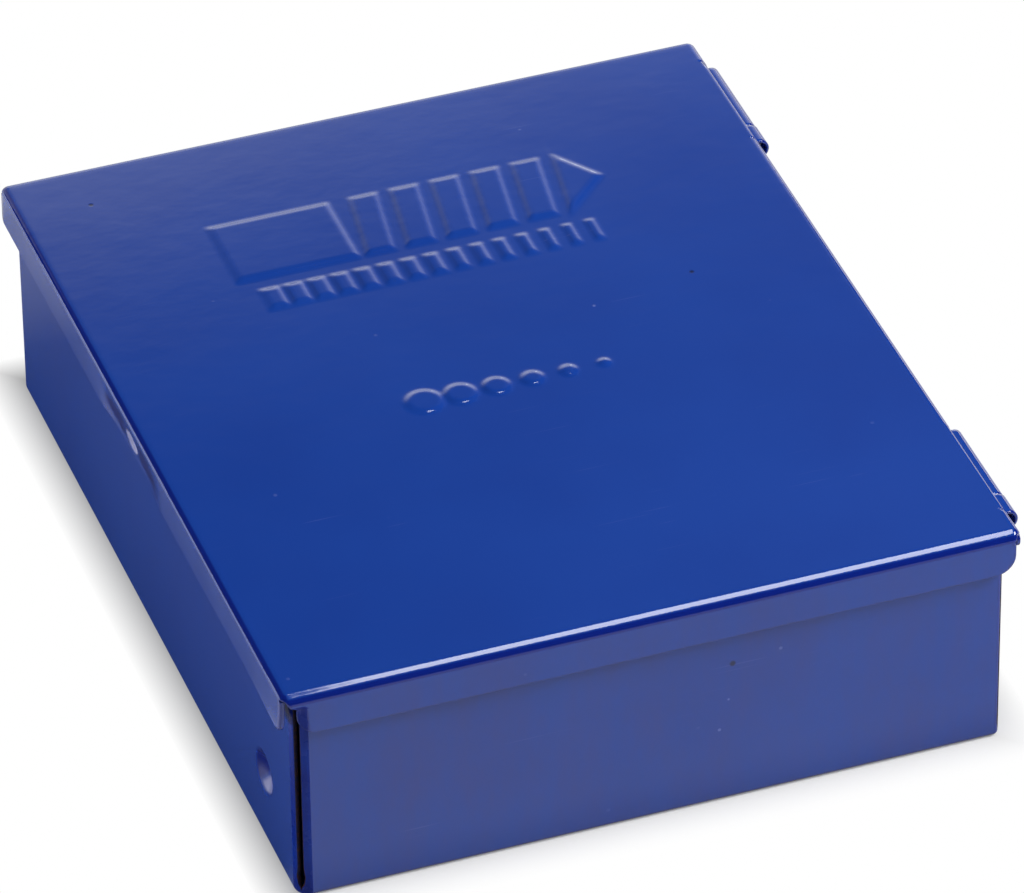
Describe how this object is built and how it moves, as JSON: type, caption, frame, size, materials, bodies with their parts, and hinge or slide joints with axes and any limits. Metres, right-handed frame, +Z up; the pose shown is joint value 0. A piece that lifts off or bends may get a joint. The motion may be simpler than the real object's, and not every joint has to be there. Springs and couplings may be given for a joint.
{
  "type": "drill bit case",
  "caption": "Folded sheet-metal drill bit case with a hinged lid; link bars raise three stepped drill racks as the lid opens.",
  "frame": {"origin": "middle of the case's bottom face, below the middle of the lid", "axes": "+X along the hinges towards the end with the dimple, -Y towards the latch side, +Y towards the hinges, +Z up"},
  "size_m": [0.14, 0.1193, 0.0389],
  "materials": {
    "case_enamel": "gloss royal-blue enamel with light orange peel",
    "rack_enamel": "gloss royal-blue enamel",
    "zinc_plate": "bright zinc plate",
    "pin_steel": "plain drawn steel wire"
  },
  "bodies": {
    "base": {"base_tray": "case_enamel", "left_hinge_base_leaf": "case_enamel", "left_hinge_pin": "pin_steel", "left_pivot_bracket": "rack_enamel", "right_hinge_base_leaf": "case_enamel", "right_hinge_pin": "pin_steel", "right_pivot_bracket": "rack_enamel", "left_large_pivot": "zinc_plate", "left_large_spacer": "zinc_plate", "right_large_pivot": "zinc_plate", "right_large_spacer": "zinc_plate", "left_medium_pivot": "zinc_plate", "left_medium_spacer": "zinc_plate", "right_medium_pivot": "zinc_plate", "right_medium_spacer": "zinc_plate", "left_small_pivot": "zinc_plate", "left_small_spacer": "zinc_plate", "right_small_pivot": "zinc_plate", "right_small_spacer": "zinc_plate"},
    "lid": {"lid": "case_enamel", "left_hinge_lid_leaf": "case_enamel", "left_lid_lug": "rack_enamel", "left_lid_rivet": "zinc_plate", "right_hinge_lid_leaf": "case_enamel", "right_lid_lug": "rack_enamel", "right_lid_rivet": "zinc_plate"},
    "large_rack": {"large_rack": "rack_enamel", "left_large_link_rivet": "zinc_plate", "right_large_link_rivet": "zinc_plate"},
    "medium_rack": {"medium_rack": "rack_enamel", "left_medium_link_rivet": "zinc_plate", "right_medium_link_rivet": "zinc_plate"},
    "small_rack": {"small_rack": "rack_enamel", "left_small_link_rivet": "zinc_plate", "right_small_link_rivet": "zinc_plate"},
    "left_link": {"left_link_bar": "zinc_plate"},
    "right_link": {"right_link_bar": "zinc_plate"}
  },
  "joints": [
    {"name": "lid_hinge", "type": "hinge", "parent": "base", "child": "lid", "pos_m": [0, 0.0583, 0.03554], "axis": [-1, 0, 0], "range_deg": [0, 100]},
    {"name": "large_rack_pivot", "type": "hinge", "parent": "base", "child": "large_rack", "pos_m": [0, 0.0468, 0.02556], "axis": [-1, 0, 0], "range_deg": [0, 100]},
    {"name": "medium_rack_pivot", "type": "hinge", "parent": "base", "child": "medium_rack", "pos_m": [0, 0.0353, 0.01558], "axis": [-1, 0, 0], "range_deg": [0, 100]},
    {"name": "small_rack_pivot", "type": "hinge", "parent": "base", "child": "small_rack", "pos_m": [0, 0.0238, 0.0056], "axis": [-1, 0, 0], "range_deg": [0, 100]},
    {"name": "left_link_pivot", "type": "hinge", "parent": "lid", "child": "left_link", "pos_m": [0, 0.04635, 0.03449], "axis": [-1, 0, 0], "range_deg": [-100, 0]},
    {"name": "right_link_pivot", "type": "hinge", "parent": "lid", "child": "right_link", "pos_m": [0, 0.04635, 0.03449], "axis": [-1, 0, 0], "range_deg": [-100, 0]}
  ],
  "couplings": [
    {"joint": "large_rack_pivot", "follows": "lid_hinge", "ratio": 1},
    {"joint": "medium_rack_pivot", "follows": "lid_hinge", "ratio": 1},
    {"joint": "small_rack_pivot", "follows": "lid_hinge", "ratio": 1},
    {"joint": "left_link_pivot", "follows": "lid_hinge", "ratio": -1},
    {"joint": "right_link_pivot", "follows": "lid_hinge", "ratio": -1}
  ]
}
